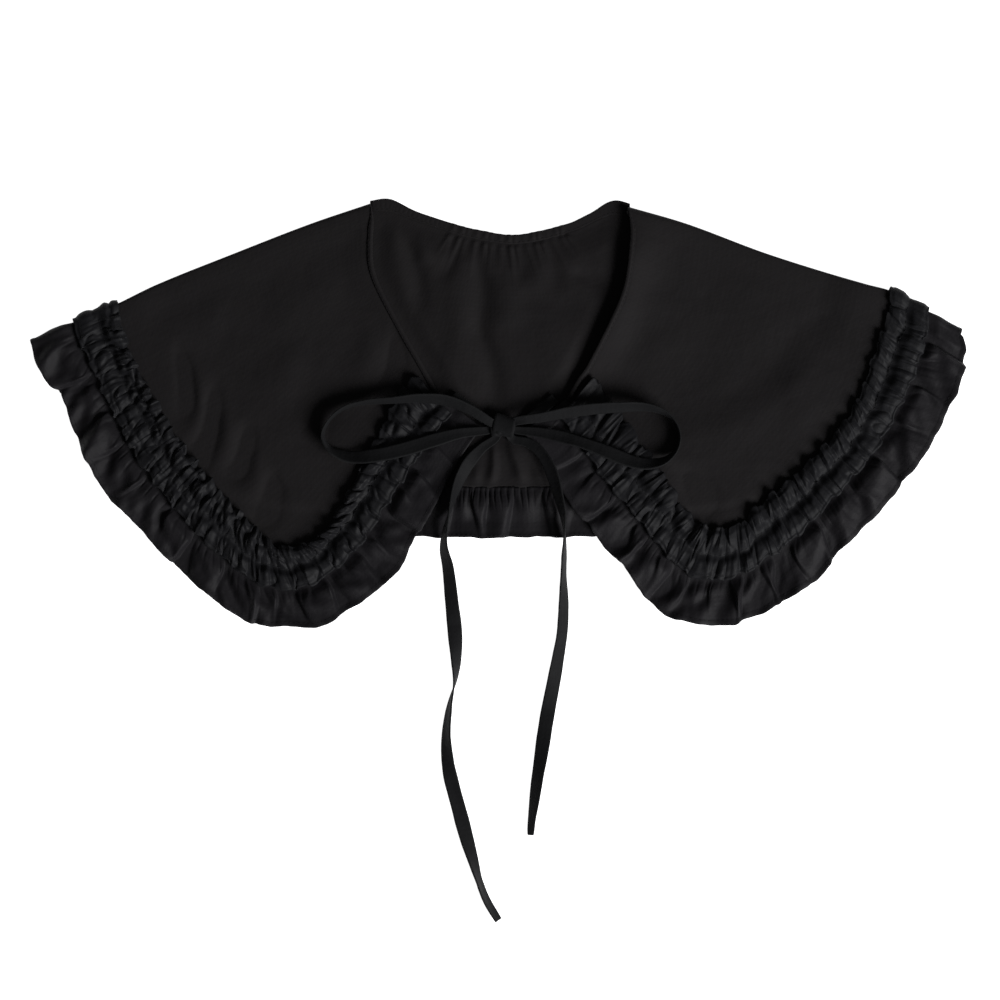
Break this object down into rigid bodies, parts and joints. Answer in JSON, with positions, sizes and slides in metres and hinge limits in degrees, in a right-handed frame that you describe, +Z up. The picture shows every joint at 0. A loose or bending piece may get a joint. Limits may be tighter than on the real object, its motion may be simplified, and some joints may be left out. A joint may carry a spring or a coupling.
{
  "type": "false collar",
  "caption": "Detachable cape collar laid flat: two pointed fronts folded over a gathered back, ruched trim, outer ruffle, and a bow tied from flat straps.",
  "frame": {"origin": "middle of the collar's box, without its ties, on the surface that it lies on", "axes": "+X across the collar to the right of the picture, +Y towards the back of the neck, +Z up from the surface"},
  "size_m": [0.5142, 0.3944, 0.0163],
  "materials": {
    "panel_cloth": "black plain-weave cotton, matt with a faint sheen",
    "ruffle_cloth": "black plain-weave cotton, gathered",
    "trim_cloth": "black plain-weave cotton, ruched with a stitched centre",
    "tie_cloth": "black cotton strap, folded and stitched flat"
  },
  "bodies": {
    "root": {"panel_back": "panel_cloth", "panel_front_left": "panel_cloth", "panel_front_right": "panel_cloth", "ruffle_back": "ruffle_cloth", "ruffle_front_left": "ruffle_cloth", "ruffle_front_right": "ruffle_cloth", "trim_back": "trim_cloth", "trim_front_left": "trim_cloth", "trim_front_right": "trim_cloth", "neck_casing_back": "panel_cloth", "neck_edge_left": "panel_cloth", "neck_edge_right": "panel_cloth", "tie_root_left": "tie_cloth", "tie_root_right": "tie_cloth", "bow_knot": "tie_cloth", "bow_loop_left": "tie_cloth", "bow_loop_right": "tie_cloth", "tie_tail_left": "tie_cloth", "tie_tail_right": "tie_cloth"}
  },
  "joints": []
}
